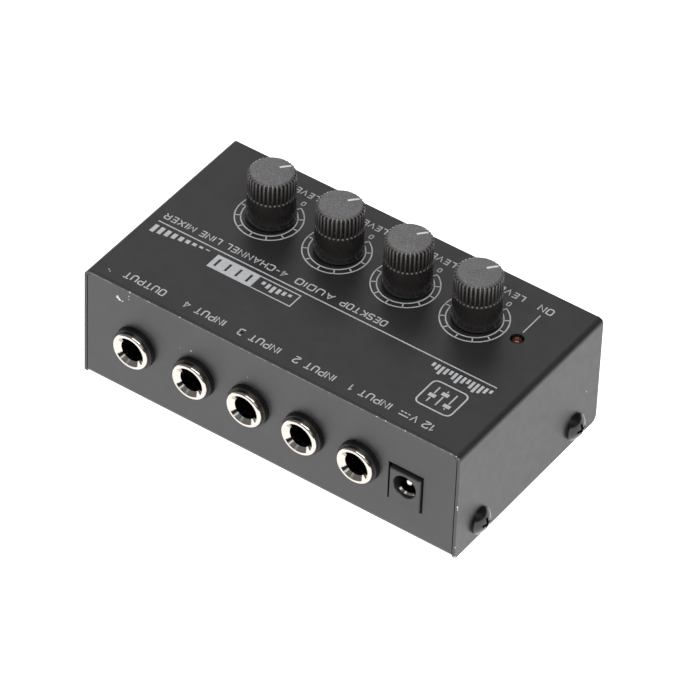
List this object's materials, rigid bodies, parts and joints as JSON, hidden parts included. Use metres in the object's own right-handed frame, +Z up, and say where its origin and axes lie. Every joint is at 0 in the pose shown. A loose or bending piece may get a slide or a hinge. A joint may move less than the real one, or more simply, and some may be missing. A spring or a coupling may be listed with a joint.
{
  "type": "line mixer",
  "caption": "Small desktop audio line mixer in a bent sheet-metal box, with level knobs on top, plug sockets on the rear panel, a power inlet and a power lamp.",
  "frame": {"origin": "centre of the footprint, on the surface that the feet stand on", "axes": "+X along the length to the user's right, +Y towards the socket panel at the rear, +Z up"},
  "size_m": [0.1184, 0.0656, 0.0511],
  "materials": {
    "black_paint": "satin powder coat with a fine grain",
    "black_screw": "glossy black",
    "foot_rubber": "matte",
    "circuit_board": "green solder mask",
    "steel_hardware": "bright zinc",
    "tinned_pin": "tinned",
    "spring_contact": "bright",
    "component_black": "moulded",
    "capacitor_sleeve": "shrink sleeve",
    "resistor_body": "lacquer",
    "socket_black": "moulded",
    "nickel": "polished nickel",
    "knob_black": "moulded, satin",
    "cap_grey": "matte",
    "pointer_white": "matte",
    "lamp_resin": "clear resin, unlit",
    "pot_plastic": "moulded",
    "shaft_plastic": "moulded"
  },
  "bodies": {
    "root": {"cover": "black_paint", "chassis": "black_paint", "cover_screws": "black_screw", "rubber_feet": "foot_rubber", "main_board": "circuit_board", "control_board": "circuit_board", "board_spacers": "steel_hardware", "board_pillars": "steel_hardware", "main_board_screws": "steel_hardware", "control_board_screws": "steel_hardware", "link_socket": "component_black", "link_strip": "component_black", "link_pins": "tinned_pin", "amplifier_chips": "component_black", "capacitors": "capacitor_sleeve", "voltage_regulator": "component_black", "resistors": "resistor_body", "power_inlet_housing": "socket_black", "power_inlet_pin": "nickel", "power_inlet_contact": "nickel", "power_lamp": "lamp_resin", "lamp_spacer": "component_black", "lamp_leads": "tinned_pin", "pot_terminals": "tinned_pin", "tip_contacts": "spring_contact", "socket_pins": "tinned_pin", "input_1_socket_housing": "socket_black", "input_1_socket_ferrule": "nickel", "input_2_socket_housing": "socket_black", "input_2_socket_ferrule": "nickel", "input_3_socket_housing": "socket_black", "input_3_socket_ferrule": "nickel", "input_4_socket_housing": "socket_black", "input_4_socket_ferrule": "nickel", "output_socket_housing": "socket_black", "output_socket_ferrule": "nickel", "pot_1_body": "pot_plastic", "pot_2_body": "pot_plastic", "pot_3_body": "pot_plastic", "pot_4_body": "pot_plastic"},
    "level_knob_1": {"knob_1_body": "knob_black", "knob_1_cap": "cap_grey", "knob_1_pointer": "pointer_white", "pot_1_shaft": "shaft_plastic"},
    "level_knob_2": {"knob_2_body": "knob_black", "knob_2_cap": "cap_grey", "knob_2_pointer": "pointer_white", "pot_2_shaft": "shaft_plastic"},
    "level_knob_3": {"knob_3_body": "knob_black", "knob_3_cap": "cap_grey", "knob_3_pointer": "pointer_white", "pot_3_shaft": "shaft_plastic"},
    "level_knob_4": {"knob_4_body": "knob_black", "knob_4_cap": "cap_grey", "knob_4_pointer": "pointer_white", "pot_4_shaft": "shaft_plastic"}
  },
  "joints": [
    {"name": "level_knob_1_turn", "type": "hinge", "parent": "root", "child": "level_knob_1", "pos_m": [-0.0313, -0.01408, 0.036], "axis": [0, 0, -1], "range_deg": [0, 300]},
    {"name": "level_knob_2_turn", "type": "hinge", "parent": "root", "child": "level_knob_2", "pos_m": [-0.01045, -0.01408, 0.036], "axis": [0, 0, -1], "range_deg": [0, 300]},
    {"name": "level_knob_3_turn", "type": "hinge", "parent": "root", "child": "level_knob_3", "pos_m": [0.0104, -0.01408, 0.036], "axis": [0, 0, -1], "range_deg": [0, 300]},
    {"name": "level_knob_4_turn", "type": "hinge", "parent": "root", "child": "level_knob_4", "pos_m": [0.03125, -0.01408, 0.036], "axis": [0, 0, -1], "range_deg": [0, 300]}
  ]
}
